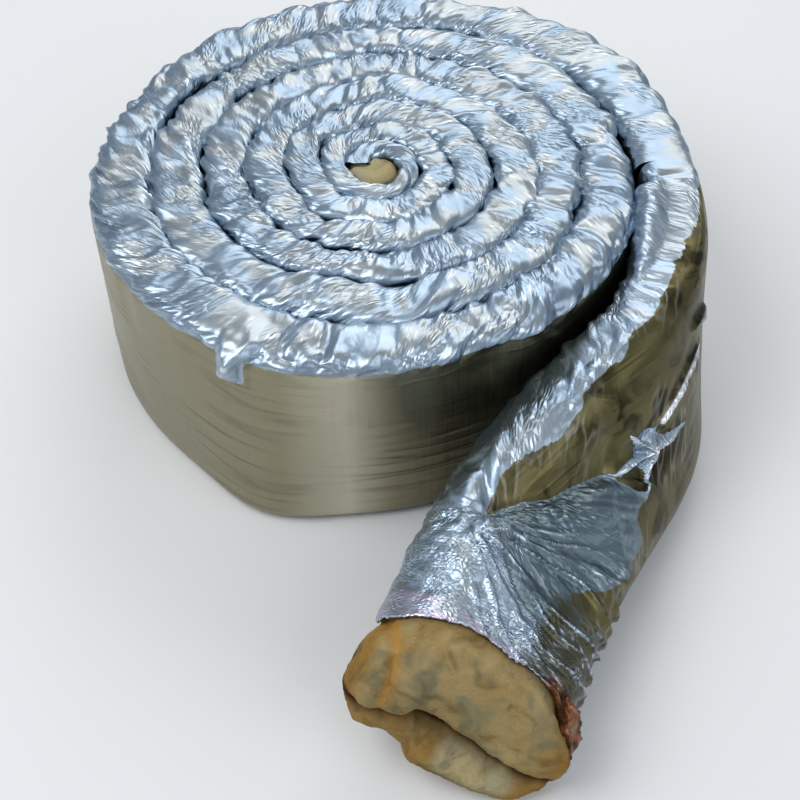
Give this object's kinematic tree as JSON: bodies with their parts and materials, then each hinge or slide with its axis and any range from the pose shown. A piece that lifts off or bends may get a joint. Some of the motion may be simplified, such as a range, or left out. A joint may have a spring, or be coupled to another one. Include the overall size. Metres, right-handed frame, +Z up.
{
  "type": "insulation roll",
  "caption": "Coil of flattened duct insulation sleeve, glass wool in a metallised film tube, standing on edge with its free end turned over on the floor.",
  "frame": {"origin": "the middle of the whole footprint, on the floor that the sleeve's lower edge stands on; the coil's axis is at X -0.025, Y 0.176", "axes": "+Z up along the coil's axis; the free end leaves the coil on its +X side and lies towards -Y"},
  "size_m": [0.7238, 1.046, 0.2655],
  "materials": {
    "metallised_film": "wrinkled metallised film, bright on the rounded edges and duller on the stretched flats",
    "glass_wool": "matted cream and yellow glass wool"
  },
  "bodies": {
    "root": {"film_jacket": "metallised_film", "wool_blanket": "glass_wool", "wool_inner_end": "glass_wool"}
  },
  "joints": []
}
